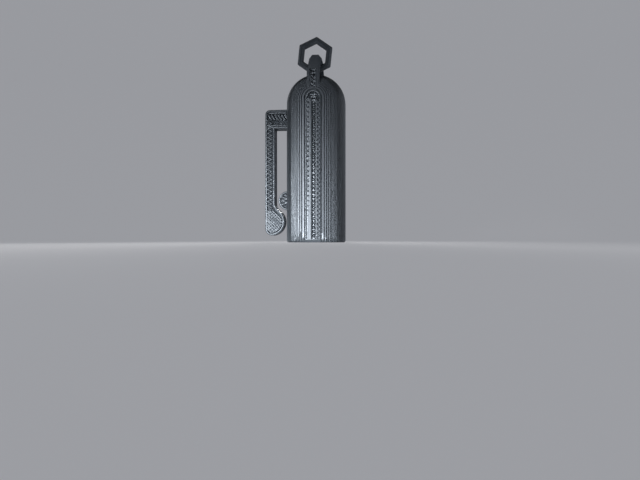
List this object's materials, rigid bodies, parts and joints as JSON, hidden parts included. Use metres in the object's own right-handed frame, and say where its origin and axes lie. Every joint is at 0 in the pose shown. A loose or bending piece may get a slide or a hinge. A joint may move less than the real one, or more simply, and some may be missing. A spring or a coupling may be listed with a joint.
{
  "type": "marker cap",
  "caption": "Printed round-ended marker cap with a sprung pocket clip, a catch under the clip's tip, and a faceted bail that holds a captive six-sided lanyard link.",
  "frame": {"origin": "centre of the mouth, on the plane of its rim", "axes": "+Z along the cap towards the dome, -X towards the pocket clip, -Y towards the side that the picture shows"},
  "size_m": [0.0172, 0.0126, 0.0441],
  "materials": {
    "silver_plastic": "silver-grey printed plastic with a satin flake and fine layer ridges"
  },
  "bodies": {
    "cap": {"cap_shell": "silver_plastic", "seal_sleeve": "silver_plastic", "lanyard_bail": "silver_plastic", "clip_bracket": "silver_plastic", "clip_catch": "silver_plastic"},
    "clip": {"clip_arm": "silver_plastic"},
    "link": {"hex_link": "silver_plastic"}
  },
  "joints": [
    {"name": "clip_flex", "type": "hinge", "parent": "cap", "child": "clip", "pos_m": [-0.0109, 0, 0.0244], "axis": [0, 1, 0], "range_deg": [0, 6], "stiffness_Nm_per_rad": 1},
    {"name": "link_tip", "type": "hinge", "parent": "cap", "child": "link", "pos_m": [0, 0, 0.03698], "axis": [0.9945, 0, -0.1045], "range_deg": [-85, 85]}
  ]
}
